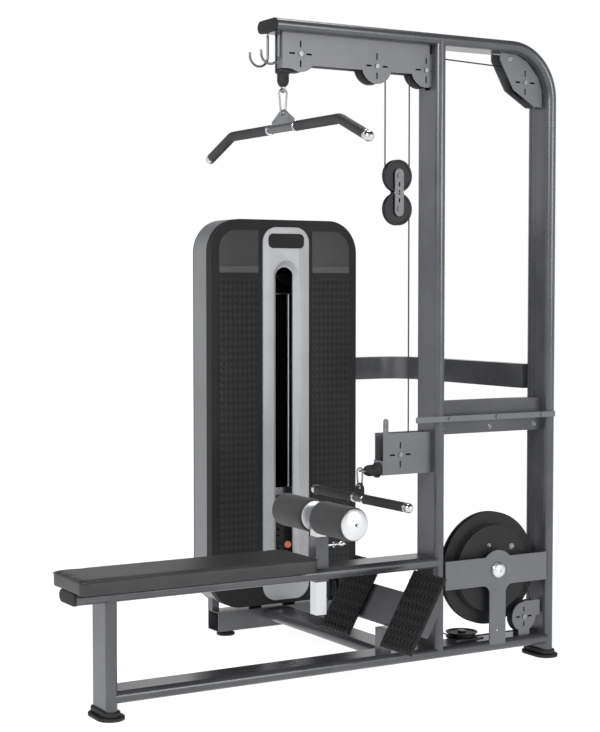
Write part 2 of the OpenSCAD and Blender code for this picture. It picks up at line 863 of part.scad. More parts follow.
// ---------------------------------------------------------------- roller pads
module roller_post() {
    color(chrome) {
        translate([post_x - post_inner / 2, frame_y - post_inner / 2, 250])
            cube([post_inner, post_inner, roller_z - 250]);
        translate([post_x, frame_y, roller_z]) rotate([90, 0, 0])
            cylinder(r = 13, h = 2 * roller_len + 62, center = true);
    }
}

module roller(s) {
    y = frame_y + s * (25 + roller_len / 2);
    color(dark) translate([post_x, y, roller_z]) rotate([90, 0, 0]) difference() {
        cylinder(d = roller_d, h = roller_len, center = true, $fn = 96);
        cylinder(r = 13 + fit, h = roller_len + 2, center = true);
    }
}

module roller_near() { roller(-1); }
module roller_far() { roller(1); }

module pop_pin() {
    color(chrome) translate([post_x, frame_y, 484]) rotate([0, 90, 0]) {
        translate([0, 0, post_inner / 2 + 0.6]) cylinder(r = 6, h = 40);
        translate([0, 0, 60]) cylinder(r = 11, h = 46);
    }
}

// ---------------------------------------------------------------- cables
module fixed_cables() {
    a1 = tangent(front_p, wrap_r, middle_p, wrap_r);
    a2 = tangent(rear_p, wrap_r, corner_p, wrap_r);
    a3 = tangent(low_p, wrap_r, drum_p, inner_drum_r) - 360;
    side = tangent(drum_p, inner_drum_r, low_p, wrap_r);
    small = inner_drum_r;
    color(black) {
        wrap(front_p, frame_y, wrap_r, a1, 180 - a1);
        run(on_wheel(front_p, wrap_r, a1), on_wheel(middle_p, wrap_r, a1), frame_y);
        wrap(middle_p, frame_y, wrap_r, 0, a1);
        wrap(rear_p, frame_y, wrap_r, a2, 180 - a2);
        run(on_wheel(rear_p, wrap_r, a2), on_wheel(corner_p, wrap_r, a2), frame_y);
        wrap(corner_p, frame_y, wrap_r, 0, a2);
        run([drum_p[0] + drum_r, corner_p[1]], [drum_p[0] + drum_r, drum_p[1]], frame_y);
        wrap(drum_p, frame_y, drum_r, -270, 270);
        wrap(drum_p, small_disc_y, small, side, 60 - side);
        run(on_wheel(drum_p, small, side), on_wheel(low_p, wrap_r, side), small_disc_y);
        wrap(low_p, small_disc_y, wrap_r, -90, 90 + side);
        run([low_p[0], 108], [guide_c[0], 108], small_disc_y);
        translate(guide_c) rotate(180) rotate_extrude(angle = 90, $fn = 96)
            translate([wrap_r, 0]) circle(d = cable_d, $fn = 24);
        translate([riser_x, guide_c[1] + hair, 108]) rotate([-90, 0, 0])
            cylinder(d = cable_d, h = stack_y - wrap_r - guide_c[1] - 2 * hair, $fn = 24);
        translate([riser_x, stack_y - wrap_r, 160]) rotate([90, 0, 90]) rotate(-90)
            rotate_extrude(angle = 90, $fn = 96)
                translate([wrap_r, 0]) circle(d = cable_d, $fn = 24);
        run([riser_x, 160], [riser_x, top_wheel_z], stack_y);
        wrap([tower_x + top_wheel_r, top_wheel_z], stack_y, top_wheel_r, 0, 180);
    }
}

module lat_cable() {
    color(black) run([lat_x, front_p[1]], [lat_x, 2041], frame_y);
}

module stack_cable() {
    low = stack_low + plate_count * plate_pitch + 71;
    color(black) run([tower_x, top_wheel_z], [tower_x, low], stack_y);
}

// The upper cable's loop down to the floating block, and the row cable's rise to it
module block_cables() {
    left = block_x - block_r;
    right = block_x + block_r;
    color(black) {
        run([left, middle_p[1]], [left, block_top_z], frame_y);
        wrap([block_x, block_top_z], frame_y, block_r, 180, 180);
        run([right, block_top_z], [right, rear_p[1]], frame_y);
        wrap([block_x, block_low_z], frame_y, block_r, 0, 180);
        run([row_p[0] + wrap_r, row_p[1]], [right, block_low_z], frame_y);
    }
}

module row_cable() {
    color(black) {
        wrap(row_p, frame_y, wrap_r, -90, 90);
        run([row_p[0], row_cable_z], [mid_x - 273, row_cable_z], frame_y);
    }
}

base_tube();
front_leg();
mid_upright();
rear_upright();
boom();
end_caps();
seat_beam();
cross_tube();
tie_strap();
link_tube();
floor_rail();
tower_base();
feet();
boom_plates();
corner_plates();
row_bracket();
bar_hooks();
drum_bracket();
base_brackets();
post_sleeve();
tread_carrier();
tread_plates();
seat_pad();
tower_shell();
front_panel();
tower_trim();
tower_back();
guide_rods();
tower_gantry();
pulley_axles();
resting_plates();
lifted_plates();
selector_stem();
selector_pin();
front_pulley();
middle_pulley();
rear_pulley();
corner_pulley();
drum();
low_pulley();
guide_pulley();
tower_low_pulley();
tower_top_pulley();
row_pulley();
block_frame();
block_top_wheel();
block_low_wheel();
lat_clip();
lat_bar();
row_clip();
row_handle();
roller_post();
roller_near();
roller_far();
pop_pin();
fixed_cables();
lat_cable();
stack_cable();
block_cables();
row_cable();
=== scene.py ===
# %% [markdown]
# # Lat pulldown and low row machine
# The frame, plates, pulleys and tower come from the CAD model, already at real size and in metres.
# This lesson gives them their finishes, and models what CAD can't say well: the seat pad, the foam
# rollers, the bars with their rubber sleeves, the moulded covers and the cables.

# %% Load the CAD frame
import bpy
import json
import math
from mathutils import Matrix, Vector


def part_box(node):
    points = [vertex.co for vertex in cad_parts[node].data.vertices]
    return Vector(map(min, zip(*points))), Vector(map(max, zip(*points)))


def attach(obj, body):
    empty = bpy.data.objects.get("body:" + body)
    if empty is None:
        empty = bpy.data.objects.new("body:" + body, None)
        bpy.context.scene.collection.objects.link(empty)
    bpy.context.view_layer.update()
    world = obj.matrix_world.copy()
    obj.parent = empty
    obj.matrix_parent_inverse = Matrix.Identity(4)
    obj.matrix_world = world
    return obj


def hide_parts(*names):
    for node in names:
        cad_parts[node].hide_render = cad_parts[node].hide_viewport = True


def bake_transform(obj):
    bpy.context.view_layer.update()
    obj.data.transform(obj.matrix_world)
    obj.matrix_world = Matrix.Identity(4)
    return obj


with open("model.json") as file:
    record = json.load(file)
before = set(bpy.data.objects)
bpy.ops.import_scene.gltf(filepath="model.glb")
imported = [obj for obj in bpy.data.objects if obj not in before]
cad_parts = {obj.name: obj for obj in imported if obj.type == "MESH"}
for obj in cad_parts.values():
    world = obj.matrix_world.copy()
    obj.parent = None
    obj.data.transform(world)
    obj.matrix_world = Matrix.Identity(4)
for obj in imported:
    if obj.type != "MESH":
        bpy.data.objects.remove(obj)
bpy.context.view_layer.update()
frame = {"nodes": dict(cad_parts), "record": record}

# %% [markdown]
# ## Colour and material helpers
# A colour is picked on a screen as an sRGB hex value, but the renderer adds light in linear values,
# so one function turns one into the other. A second one adds a node with its settings and links.

# %% Helpers for materials
def linear(hex_colour):
    values = [int(hex_colour[i:i + 2], 16) / 255 for i in (1, 3, 5)]
    return tuple(v / 12.92 if v < 0.04045 else ((v + 0.055) / 1.055) ** 2.4 for v in values) + (1.0,)


def add(tree, kind, settings=None, links=None):
    made = tree.nodes.new(kind)
    for name, value in (settings or {}).items():
        if isinstance(name, int) or name in made.inputs:
            made.inputs[name].default_value = value
        else:
            setattr(made, name, value)
    for name, source in (links or {}).items():
        tree.links.new(source, made.inputs[name])
    return made


def blank(name, **settings):
    material = bpy.data.materials.new(name)
    material.use_nodes = True
    tree = material.node_tree
    shader = tree.nodes["Principled BSDF"]
    for key, value in settings.items():
        shader.inputs[key.replace("_", " ")].default_value = value
    where = add(tree, "ShaderNodeTexCoord").outputs["Object"]
    return material, tree, shader, where


def two_tones(tree, factor, dark, light, low=0.35, high=0.65):
    ramp = add(tree, "ShaderNodeValToRGB", links={"Fac": factor})
    ramp.color_ramp.elements[0].position, ramp.color_ramp.elements[0].color = low, linear(dark)
    ramp.color_ramp.elements[1].position, ramp.color_ramp.elements[1].color = high, linear(light)
    return ramp.outputs["Color"]


def bump(tree, shader, height, strength, distance):
    made = add(tree, "ShaderNodeBump", {"Strength": strength, "Distance": distance}, {"Height": height})
    tree.links.new(made.outputs["Normal"], shader.inputs["Normal"])
    return made


def noise(tree, where, scale, detail=2.0):
    made = add(tree, "ShaderNodeTexNoise", {"Scale": scale, "Detail": detail}, {"Vector": where})
    return made.outputs["Fac"]


print("helpers ready")

# %% [markdown]
# ## Painted steel
# The tubes are steel with a metallic grey powder coat. Powder melts into a film with a soft orange
# peel, which a low bump about 4 mm across shows, and aluminium flakes give it a satin glint. Real
# flakes are finer than the picture can show, so the grain is drawn at 1.5 mm.

# %% Powder coats
def powder_coat(name, dark, light, metallic, rough):
    material, tree, shader, where = blank(name, Metallic=metallic, Coat_Weight=0.25, Coat_Roughness=0.3)
    cloud = noise(tree, where, 5, 3)
    flake = noise(tree, where, 650, 1)
    both = add(tree, "ShaderNodeMath", {"operation": "MULTIPLY_ADD", 1: 0.35}, {0: flake, 2: cloud})
    tree.links.new(two_tones(tree, both.outputs[0], dark, light, 0.5, 0.9), shader.inputs["Base Color"])
    worn = add(tree, "ShaderNodeMapRange", {"To Min": rough - 0.05, "To Max": rough + 0.06}, {"Value": cloud})
    tree.links.new(worn.outputs[0], shader.inputs["Roughness"])
    bump(tree, shader, noise(tree, where, 260, 1), 0.12, 0.0006)
    return material


frame_paint = powder_coat("powder_coated_steel", "#494A4D", "#56575A", 0.4, 0.27)
bracket_paint = powder_coat("powder_coated_plate", "#616265", "#6B6C6F", 0.3, 0.4)
shell_paint = powder_coat("painted_sheet_steel", "#6A6B6D", "#747577", 0.25, 0.38)
print("paints:", frame_paint.name, bracket_paint.name, shell_paint.name)

# %% [markdown]
# ## Plastics and rubber
# The tower's front is ABS moulded in a spark-eroded mould, which leaves a fine even grain: rough and
# nearly black. The trim is the same plastic sprayed silver. The stops, feet and sleeves are rubber,
# which is rougher and shows a slight bloom.

# %% Moulded plastic and rubber
def moulded(name, dark, light, rough, grain, depth, **settings):
    material, tree, shader, where = blank(name, **settings)
    cloud = noise(tree, where, 7, 3)
    tree.links.new(two_tones(tree, cloud, dark, light), shader.inputs["Base Color"])
    spread = add(tree, "ShaderNodeMapRange", {"To Min": rough - 0.06, "To Max": rough + 0.06},
                 {"Value": cloud})
    tree.links.new(spread.outputs[0], shader.inputs["Roughness"])
    bump(tree, shader, noise(tree, where, grain, 2), 0.5, depth)
    return material


dark_abs = moulded("grained_abs", "#171718", "#1D1D1E", 0.6, 700, 0.0004, Specular_IOR_Level=0.25)
silver_abs = moulded("silver_sprayed_abs", "#A1A2A4", "#AAABAD", 0.46, 900, 0.0001, Metallic=0.4)
rubber = moulded("moulded_rubber", "#1A1A1A", "#212121", 0.62, 500, 0.0004, Specular_IOR_Level=0.35)
nylon = moulded("cast_nylon", "#111112", "#171718", 0.45, 300, 0.0002, Specular_IOR_Level=0.35)
knob_plastic = moulded("orange_phenolic", "#B3542F", "#C05E38", 0.35, 500, 0.0001, Coat_Weight=0.4)
cast_iron = moulded("painted_cast_iron", "#232425", "#2D2E2F", 0.5, 220, 0.0006, Metallic=0.3)
drum_paint = moulded("painted_cast_drum", "#1B1B1B", "#222222", 0.5, 260, 0.0003, Specular_IOR_Level=0.3)
cable_coat = moulded("nylon_cable_sleeve", "#0E0E0F", "#141415", 0.35, 900, 0.0001)
placard_grey = moulded("printed_polycarbonate", "#29292A", "#2E2E2F", 0.55, 400, 0.00005)
placard_band = moulded("printed_grey_band", "#3E3E40", "#454547", 0.55, 400, 0.00005)
print("ten moulded finishes")

# %% [markdown]
# ## Bright steel
# Hooks, posts, caps and clips are polished and plated. A plated surface is never quite clean, so
# broad noise moves its roughness a little, as fingers and wiping do.

# %% Plated steel
def plated(name, colour, rough):
    material, tree, shader, where = blank(name, Metallic=1.0, Base_Color=linear(colour))
    spread = add(tree, "ShaderNodeMapRange", {"To Min": rough - 0.04, "To Max": rough + 0.08},
                 {"Value": noise(tree, where, 30, 3)})
    tree.links.new(spread.outputs[0], shader.inputs["Roughness"])
    return material


chrome = plated("chrome_plated_steel", "#C9CACC", 0.2)
satin_cap = plated("satin_aluminium_cap", "#D8D9DB", 0.38)
zinc = plated("zinc_plated_steel", "#8C8D90", 0.34)
dark_steel = plated("blackened_steel_hook", "#6A6C70", 0.34)
print("four bright finishes")

# %% [markdown]
# ## Rubber sleeves, foam and leather
# The bars' sleeves are extruded rubber with a fine ring pattern across them. The rings are about
# 1 mm apart on the real thing and drawn at 3 mm, so that they show. The foam rollers are closed-cell
# foam with a skin, and the seat is upholstery leather with a 2.5 mm pebble grain.

# %% Soft finishes
def ringed_rubber(name):
    material, tree, shader, where = blank(name, Roughness=0.6)
    tree.links.new(two_tones(tree, noise(tree, where, 9, 3), "#1C1C1C", "#242424"),
                   shader.inputs["Base Color"])
    rings = add(tree, "ShaderNodeTexWave", {"wave_type": "BANDS", "bands_direction": "Y", "Scale": 105.0,
                                            "Distortion": 0.3}, {"Vector": where})
    bump(tree, shader, rings.outputs["Fac"], 0.4, 0.0006)
    return material


def skinned_foam(name):
    material, tree, shader, where = blank(name, Roughness=0.72, Sheen_Weight=0.15, Sheen_Roughness=0.5)
    tree.links.new(two_tones(tree, noise(tree, where, 12, 4), "#28282A", "#313132"),
                   shader.inputs["Base Color"])
    cells = add(tree, "ShaderNodeTexVoronoi", {"Scale": 420.0}, {"Vector": where})
    bump(tree, shader, cells.outputs["Distance"], 0.35, 0.0006)
    return material


def pebbled_leather(name):
    material, tree, shader, where = blank(name, Coat_Weight=0.12, Coat_Roughness=0.35)
    tree.links.new(two_tones(tree, noise(tree, where, 6, 4), "#202021", "#2A2A2B"),
                   shader.inputs["Base Color"])
    grain = add(tree, "ShaderNodeTexVoronoi", {"Scale": 380.0, "Randomness": 0.9}, {"Vector": where})
    spread = add(tree, "ShaderNodeMapRange", {"To Min": 0.38, "To Max": 0.55},
                 {"Value": grain.outputs["Distance"]})
    tree.links.new(spread.outputs[0], shader.inputs["Roughness"])
    bump(tree, shader, grain.outputs["Distance"], 0.3, 0.0007)
    return material


grip = ringed_rubber("extruded_grip_rubber")
foam = skinned_foam("closed_cell_foam")
leather = pebbled_leather("pebbled_upholstery_leather")
print("three soft finishes")

# %% [markdown]
# ## Relief patterns
# The tower's side panels carry a moulded diamond relief about 26 mm wide and 34 mm high, and the
# foot plates a rubber tread of small lozenges. Both are too many to model one by one, so the height
# of crossed waves drives a bump, which keeps the pattern true to size on Object coordinates.

# %% Diamond relief
def diamonds(name, dark, light, across, up, axis_u, axis_v, depth, rough):
    material, tree, shader, where = blank(name, Roughness=rough, Specular_IOR_Level=0.3)
    part = add(tree, "ShaderNodeSeparateXYZ", links={"Vector": where})
    u = add(tree, "ShaderNodeMath", {"operation": "MULTIPLY", 1: 2 * math.pi / across},
            {0: part.outputs[axis_u]})
    v = add(tree, "ShaderNodeMath", {"operation": "MULTIPLY", 1: 2 * math.pi / up}, {0: part.outputs[axis_v]})
    cu = add(tree, "ShaderNodeMath", {"operation": "COSINE"}, {0: u.outputs[0]})
    cv = add(tree, "ShaderNodeMath", {"operation": "COSINE"}, {0: v.outputs[0]})
    total = add(tree, "ShaderNodeMath", {"operation": "ADD"}, {0: cu.outputs[0], 1: cv.outputs[0]})
    spread = add(tree, "ShaderNodeMapRange", {"From Min": -0.6, "From Max": 0.9}, {"Value": total.outputs[0]})
    # The base colour follows the relief's height: painted shade darkens the hollows between the diamonds, and
    # the peaks are lighter.
    tree.links.new(two_tones(tree, spread.outputs[0], dark, light, 0.1, 0.9), shader.inputs["Base Color"])
    bump(tree, shader, spread.outputs[0], 0.8, depth)
    return material


relief = diamonds("moulded_diamond_abs", "#0E0E0F", "#202021", 0.0205, 0.0275, "X", "Z", 0.0030, 0.5)
tread = diamonds("treaded_rubber", "#141414", "#1F1F1F", 0.022, 0.030, "Y", "Z", 0.0030, 0.6)
print("relief:", relief.name, tread.name)

# %% [markdown]
# ## Finish for every CAD node
# Each CAD node keeps its shape and takes the material of what it is made of.

# %% Assign finishes to the CAD nodes
FINISHES = {
    "frame_paint": frame_paint, "bracket_paint": bracket_paint, "shell_paint": shell_paint,
    "dark_plastic": dark_abs, "silver_plastic": silver_abs, "bright_steel": chrome,
    "black_rubber": rubber, "grip_rubber": grip, "seat_leather": leather, "foam": foam,
    "weight_iron": cast_iron, "knob_plastic": knob_plastic, "wheel_nylon": nylon,
    "drum_iron": drum_paint, "cable_sleeve": cable_coat}


def dress(piece, material):
    piece.data.materials.clear()
    piece.data.materials.append(material)


for row in frame["record"]["subparts"]:
    dress(frame["nodes"][row["node"]], FINISHES[row["material_slot"]])
dress(frame["nodes"]["bar_hooks"], dark_steel)
dress(frame["nodes"]["pulley_axles"], zinc)
print(len(frame["nodes"]), "nodes dressed")

# %% [markdown]
# ## Modelling helpers
# An operator acts on all that is selected, so each helper starts by deselecting everything. A turned
# piece grows from one circle: extrude, scale, extrude again, as on a lathe. A flat-oval prism is a
# cylinder whose one half is moved away. A pipe is a line given a round bevel and turned into a mesh.

# %% Modelling helpers
def alone(piece=None):
    bpy.ops.object.select_all(action="DESELECT")
    if piece:
        piece.select_set(True)
        bpy.context.view_layer.objects.active = piece


def settle(piece, name, material):
    alone(piece)
    bpy.ops.object.transform_apply(location=True, rotation=True, scale=True)
    piece.name = piece.data.name = name
    dress(piece, material)
    return piece


def tidy_normals(piece):
    alone(piece)
    bpy.ops.object.mode_set(mode="EDIT")
    bpy.ops.mesh.select_all(action="SELECT")
    bpy.ops.mesh.remove_doubles(threshold=0.00002)
    bpy.ops.mesh.normals_make_consistent(inside=False)
    bpy.ops.object.mode_set(mode="OBJECT")


def modify(piece, kind, **settings):
    alone(piece)
    made = piece.modifiers.new(kind.title(), kind)
    for key, value in settings.items():
        setattr(made, key, value)
    bpy.ops.object.modifier_apply(modifier=made.name)


def soften(piece, width, segments=3, angle=35):
    modify(piece, "BEVEL", width=width, segments=segments, limit_method="ANGLE",
           angle_limit=math.radians(angle))
    smooth(piece)


def smooth(piece, angle=40):
    alone(piece)
    bpy.ops.object.shade_smooth_by_angle(angle=math.radians(angle))


def turned(name, material, at, axis, profile, verts=48):
    """profile is (height, radius) pairs along axis from at."""
    alone()
    height, radius = profile[0]
    bpy.ops.mesh.primitive_circle_add(vertices=verts, radius=radius, fill_type="NGON",
                                      location=(0, 0, height))
    piece = bpy.context.object
    bpy.ops.object.transform_apply()
    bpy.ops.object.mode_set(mode="EDIT")
    bpy.ops.mesh.select_all(action="SELECT")
    for next_height, next_radius in profile[1:]:
        bpy.ops.mesh.extrude_region_move(TRANSFORM_OT_translate={"value": (0, 0, next_height - height)})
        k = next_radius / radius
        bpy.ops.transform.resize(value=(k, k, 1), center_override=(0, 0, next_height))
        height, radius = next_height, next_radius
    bpy.ops.object.mode_set(mode="OBJECT")
    turn = Vector((0, 0, 1)).rotation_difference(Vector(axis)).to_matrix().to_4x4()
    piece.matrix_world = Matrix.Translation(at) @ turn
    settle(piece, name, material)
    tidy_normals(piece)
    smooth(piece)
    return piece


def block(name, material, low, high):
    alone()
    middle = [(a + b) / 2 for a, b in zip(low, high)]
    bpy.ops.mesh.primitive_cube_add(size=1, location=middle)
    piece = bpy.context.object
    piece.scale = [b - a for a, b in zip(low, high)]
    return settle(piece, name, material)


def round_edges(piece, axis, radius, steps, where=lambda p: True):
    """Bevels the edges that run along one axis (0, 1 or 2), where a test of their middle says so."""
    alone(piece)
    bpy.ops.object.mode_set(mode="EDIT")
    bpy.ops.mesh.select_mode(type="EDGE")
    bpy.ops.mesh.select_all(action="DESELECT")
    bpy.ops.object.mode_set(mode="OBJECT")
    for edge in piece.data.edges:
        a, b = (piece.data.vertices[i].co for i in edge.vertices)
        edge.select = abs(a[axis] - b[axis]) > 0.9 * (a - b).length and where((a + b) / 2)
    bpy.ops.object.mode_set(mode="EDIT")
    bpy.ops.mesh.bevel(offset=radius, segments=steps)
    bpy.ops.object.mode_set(mode="OBJECT")


def oval_prism(name, material, at, axis, across, length, width, depth, verts=48):
    """A prism from at along axis: its section is width wide, and length long in the direction across."""
    alone()
    bpy.ops.mesh.primitive_cylinder_add(vertices=verts, radius=width / 2, depth=depth,
                                        location=(0, 0, depth / 2),
                                        rotation=(0, 0, math.pi / verts))
    piece = bpy.context.object
    bpy.ops.object.transform_apply()
    half = (length - width) / 2
    for vertex in piece.data.vertices:
        vertex.co.x += half if vertex.co.x > 0 else -half
    z = Vector(axis).normalized()
    x = Vector(across).normalized()
    piece.matrix_world = Matrix.Translation(at) @ Matrix((x, z.cross(x), z)).transposed().to_4x4()
    return settle(piece, name, material)


def pipe(name, material, points, radius, closed=False, sides=5):
    alone()
    line = bpy.data.curves.new(name, "CURVE")
    line.dimensions = "3D"
    spline = line.splines.new("POLY")
    spline.points.add(len(points) - 1)
    for point, place in zip(spline.points, points):
        point.co = (*place, 1)
    spline.use_cyclic_u = closed
    line.bevel_depth, line.bevel_resolution, line.use_fill_caps = radius, sides, not closed
    piece = bpy.data.objects.new(name, line)
    bpy.context.scene.collection.objects.link(piece)
    alone(piece)
    bpy.ops.object.convert(target="MESH")
    piece = bpy.context.object
    dress(piece, material)
    tidy_normals(piece)
    smooth(piece)
    return piece


def cut(piece, cutter):
    modify(piece, "BOOLEAN", operation="DIFFERENCE", solver="EXACT", object=cutter)
    bpy.data.objects.remove(cutter)


def keep(piece, body, slot, *nodes):
    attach(piece, body)
    if nodes:
        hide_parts(*nodes)
    print(f"{piece.name}: {len(piece.data.polygons)} faces on {body}")
    return piece


def joined(name, pieces):
    alone(pieces[0])
    for piece in pieces:
        piece.select_set(True)
    bpy.ops.object.join()
    pieces[0].name = pieces[0].data.name = name
    return pieces[0]


def middle(node):
    low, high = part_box(node)
    return Vector([(a + b) / 2 for a, b in zip(low, high)])


frame_y = middle("boom").y
print("frame's middle plane is at y =", round(frame_y, 4))

# %% [markdown]
# ## Seat pad
# A plank of foam on plywood, wrapped in black leather and stapled below. The corners are round, the
# upper edge is crisp with a thin welt, and the top crowns a little. The block is remeshed to 5 mm
# cells and blown up by Cloth with pressure, and no point may move more than 4 mm.

# %% Seat pad
def blow_up(piece, cap, pressure):
    modify(piece, "REMESH", mode="VOXEL", voxel_size=0.006, use_smooth_shade=True)
    rest = [v.co.copy() for v in piece.data.vertices]
    cloth = piece.modifiers.new("Cloth", "CLOTH")
    cloth.settings.use_pressure = True
    cloth.settings.uniform_pressure_force = pressure
    cloth.settings.effector_weights.gravity = 0
    cloth.settings.quality = 4
    cloth.settings.tension_stiffness = cloth.settings.compression_stiffness = 40
    cloth.point_cache.frame_start, cloth.point_cache.frame_end = 1, 20
    for number in range(1, 21):
        bpy.context.scene.frame_set(number)
    alone(piece)
    bpy.ops.object.modifier_apply(modifier=cloth.name)
    bpy.context.scene.frame_set(1)
    furthest = 0
    for vertex, old in zip(piece.data.vertices, rest):
        step = vertex.co - old
        furthest = max(furthest, step.length)
        if step.length > cap:
            vertex.co = old + step.normalized() * cap
    print(piece.name, "moved up to", round(furthest * 1000, 1), "mm, kept to", cap * 1000)


low, high = (Vector(c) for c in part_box("seat_pad"))
pad = block("seat_cushion", leather, low + Vector((0.003, 0.003, 0)), high - Vector((0.003, 0.003, 0.003)))
round_edges(pad, 2, 0.024, 8)
soften(pad, 0.006, 4)
blow_up(pad, 0.003, 3.0)
floor_z = low.z
for vertex in pad.data.vertices:
    if vertex.co.z < floor_z + 0.003:
        vertex.co.z = floor_z + 0.0002
modify(pad, "SUBSURF", levels=1, render_levels=1)
smooth(pad, 180)
keep(pad, "frame", "seat_leather", "seat_pad")

# %% Welt along the seat's upper edge
def rounded_loop(low, high, radius, z, steps=8):
    points = []
    for cx, cy, first in ((high.x - radius, high.y - radius, 0), (low.x + radius, high.y - radius, 90),
                          (low.x + radius, low.y + radius, 180), (high.x - radius, low.y + radius, 270)):
        for i in range(steps + 1):
            angle = math.radians(first + 90 * i / steps)
            points.append((cx + radius * math.cos(angle), cy + radius * math.sin(angle), z))
    return points


welt = pipe("seat_welt", leather,
            rounded_loop(low + Vector((0.0032, 0.0032, 0)), high - Vector((0.0032, 0.0032, 0)),
                                               0.024, high.z - 0.0080), 0.0012, closed=True)
keep(welt, "frame", "seat_leather")

# %% [markdown]
# ## Foam rollers
# Each roller is a tube of closed-cell foam with rounded shoulders on a steel axle, held between a
# domed satin cap with a socket screw on the outside and a thin bright washer on the inside.

# %% Foam rollers and their caps
def roller(side, node):
    low, high = (Vector(c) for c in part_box(node))
    at = middle(node)
    length, radius = high.y - low.y, (high.z - low.z) / 2
    inner = at.y - side * length / 2
    base = (at.x, inner, at.z)
    out = (0, side, 0)
    soft = turned(node + "_foam", foam, base, out,
                  [(0.001, 0.020), (0.001, radius - 0.009), (0.003, radius - 0.004), (0.009, radius - 0.0006),
                   (0.020, radius), (length / 2, radius - 0.0012), (length - 0.020, radius),
                   (length - 0.009, radius - 0.0006), (length - 0.003, radius - 0.004),
                   (length - 0.001, radius - 0.009), (length - 0.001, 0.020)], 96)
    keep(soft, node, "foam", node)
    cap = turned(node + "_cap", satin_cap, base, out,
                 [(length - 0.003, 0.030), (length - 0.003, 0.0515), (length - 0.001, 0.0525),
                  (length + 0.002, 0.0515), (length + 0.006, 0.044), (length + 0.0095, 0.030),
                  (length + 0.0115, 0.014), (length + 0.0118, 0.0085), (length + 0.0092, 0.0075),
                  (length + 0.0092, 0.0042), (length + 0.0060, 0.0040), (length + 0.0060, 0.0005)], 64)
    keep(cap, node, "bright_steel")
    washer = turned(node + "_washer", satin_cap, base, out,
                    [(-0.0015, 0.020), (-0.0015, 0.050), (-0.0005, 0.0515), (0.0015, 0.0515),
                     (0.0015, 0.020)], 64)
    keep(washer, node, "bright_steel")


roller(-1, "roller_near")
roller(1, "roller_far")

# %% [markdown]
# ## Lat bar
# A bent steel tube with a welded lug at its middle. Black rubber sleeves cover it from the bright
# collars to the ends, and a chrome ball closes each end.

# %% Lat bar
low, high = (Vector(c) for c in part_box("lat_bar"))
bar_z, bar_r, lat_x = 1.897, 0.0135, middle("lat_bar").x
ANGLE = math.atan2(0.068, 0.165)
SET_BACK = 0.060 * math.tan(ANGLE / 2)
STRAIGHT = 0.357 - SET_BACK


def bar_line(side, start, steps=8):
    """Points along one half of the bar, out to 8 mm short of its ball."""
    points = [(lat_x, frame_y + side * start, bar_z)]
    for i in range(steps + 1):
        a = ANGLE * i / steps
        points.append((lat_x, frame_y + side * (STRAIGHT + 0.060 * math.sin(a)),
                       bar_z - 0.060 * (1 - math.cos(a))))
    reach = math.hypot(0.165, 0.068) - SET_BACK - 0.012
    end = points[-1]
    points.append((lat_x, end[1] + side * reach * math.cos(ANGLE), end[2] - reach * math.sin(ANGLE)))
    return points


BALL = ([(0, 0.012), (0.0002, 0.0172), (0.0045, 0.0172), (0.0055, 0.0158), (0.0065, 0.0162)] +
        [(0.0143 + 0.0172 * math.sin(a),
          0.0172 * math.cos(a)) for a in [math.radians(d) for d in range(-20, 88, 12)]] +
        [(0.0315, 0.0006)])
COLLAR = [(0, bar_r - 0.001), (0, bar_r + 0.003), (0.001, bar_r + 0.0042), (0.006, bar_r + 0.0042),
          (0.0072, bar_r + 0.003), (0.0072, bar_r - 0.001)]
tube = pipe("lat_bar_tube", frame_paint,
            [(lat_x, frame_y - 0.11, bar_z), (lat_x, frame_y, bar_z), (lat_x, frame_y + 0.11, bar_z)],
            bar_r, sides=10)
keep(tube, "lat_bar", "frame_paint", "lat_bar")
for side, word in ((-1, "near"), (1, "far")):
    sleeve = pipe("lat_bar_sleeve_" + word, grip, bar_line(side, 0.091), bar_r + 0.0033, sides=10)
    keep(sleeve, "lat_bar", "grip_rubber")
    collar = turned("lat_bar_collar_" + word, chrome, (lat_x, frame_y + side * 0.084, bar_z), (0, side, 0),
                    COLLAR)
    keep(collar, "lat_bar", "bright_steel")
    tip, before = Vector(bar_line(side, 0.091)[-1]), Vector(bar_line(side, 0.091)[-2])
    along = (tip - before).normalized()
    ball = turned("lat_bar_ball_" + word, chrome, tip - along * 0.002, along,
                  BALL, 40)
    keep(ball, "lat_bar", "bright_steel")

# %% Lug of the lat bar
def lug(name, at, height, base, top, slope, hole, material):
    """A plate in the Y-Z plane: wide on the bar, sloping to a round top with the clip's hole."""
    plate = block(name, material, (at.x - 0.0025, at.y - base / 2, at.z),
                  (at.x + 0.0025, at.y + base / 2, at.z + height))
    alone(plate)
    bpy.ops.object.mode_set(mode="EDIT")
    bpy.ops.mesh.select_all(action="SELECT")
    for side in (-1, 1):
        bpy.ops.mesh.select_all(action="SELECT")
        bpy.ops.mesh.bisect(plane_co=(at.x, at.y + side * top / 2, at.z + height),
                            plane_no=(0, side * slope, 0.75),
                            use_fill=True, clear_outer=True)
    bpy.ops.object.mode_set(mode="OBJECT")
    holes = [(0, height - 0.014, hole)] + [(s * base * 0.34, height * 0.47, 0.003) for s in (-1, 1)]
    for dy, dz, radius in holes:
        alone()
        bpy.ops.mesh.primitive_cylinder_add(vertices=32, radius=radius, depth=0.03,
                                            rotation=(0, math.pi / 2, 0),
                                            location=(at.x, at.y + dy, at.z + dz))
        cut(plate, bpy.context.object)
    soften(plate, 0.0008, 2)
    return plate


keep(lug("lat_bar_lug", Vector((lat_x, frame_y, bar_z)), 0.061, 0.142, 0.022, 0.44, 0.008, bracket_paint),
     "lat_bar", "frame_paint")

# %% [markdown]
# ## Row handle
# The low pulley's handle is straight, with the same sleeves, collars and balls as the lat bar.

